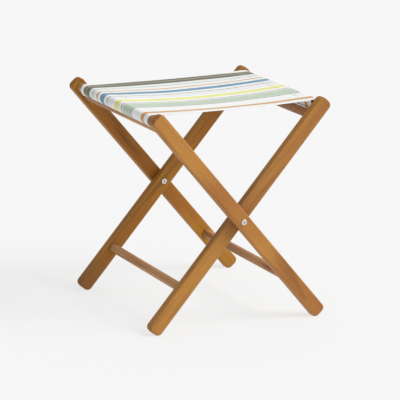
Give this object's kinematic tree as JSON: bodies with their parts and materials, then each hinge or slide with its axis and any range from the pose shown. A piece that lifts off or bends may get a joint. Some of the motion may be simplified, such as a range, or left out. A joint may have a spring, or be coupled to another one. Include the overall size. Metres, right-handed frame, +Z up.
{
  "type": "folding stool",
  "caption": "Low folding stool with two crossing wooden leg frames bolted at a pivot and a striped cloth seat sewn around the top rails.",
  "frame": {"origin": "middle of the footprint, on the floor", "axes": "+Z up; +Y from the front pair of legs to the back pair, along the pivot line; +X from the outer frame's rail to the inner frame's rail"},
  "size_m": [0.4066, 0.3918, 0.4502],
  "materials": {
    "outer_leg_front": "oiled, satin",
    "outer_leg_back": "oiled, satin",
    "outer_top_rail": "oiled, satin",
    "outer_under_rail": "oiled, satin",
    "outer_stretcher": "oiled, satin",
    "outer_sleeve": "woven, striped, matt",
    "seat_panel": "woven, striped, matt",
    "pivot_bolt_front": "plated, satin",
    "pivot_bolt_back": "plated, satin",
    "pivot_nut_front": "plated, satin",
    "pivot_nut_back": "plated, satin",
    "pivot_washer_front": "plated, satin",
    "pivot_washer_back": "plated, satin",
    "inner_leg_front": "oiled, satin",
    "inner_leg_back": "oiled, satin",
    "inner_top_rail": "oiled, satin",
    "inner_under_rail": "oiled, satin",
    "inner_stretcher": "oiled, satin",
    "inner_sleeve": "woven, striped, matt"
  },
  "bodies": {
    "outer_frame": {"outer_leg_front": "outer_leg_front", "outer_leg_back": "outer_leg_back", "outer_top_rail": "outer_top_rail", "outer_under_rail": "outer_under_rail", "outer_stretcher": "outer_stretcher", "outer_sleeve": "outer_sleeve", "seat_panel": "seat_panel", "pivot_bolt_front": "pivot_bolt_front", "pivot_bolt_back": "pivot_bolt_back", "pivot_nut_front": "pivot_nut_front", "pivot_nut_back": "pivot_nut_back", "pivot_washer_front": "pivot_washer_front", "pivot_washer_back": "pivot_washer_back"},
    "inner_frame": {"inner_leg_front": "inner_leg_front", "inner_leg_back": "inner_leg_back", "inner_top_rail": "inner_top_rail", "inner_under_rail": "inner_under_rail", "inner_stretcher": "inner_stretcher", "inner_sleeve": "inner_sleeve"}
  },
  "joints": [
    {"name": "fold", "type": "hinge", "parent": "outer_frame", "child": "inner_frame", "pos_m": [0, 0, 0.2182], "axis": [0, -1, 0], "range_deg": [0, 73], "deforming": ["seat_panel"]}
  ]
}
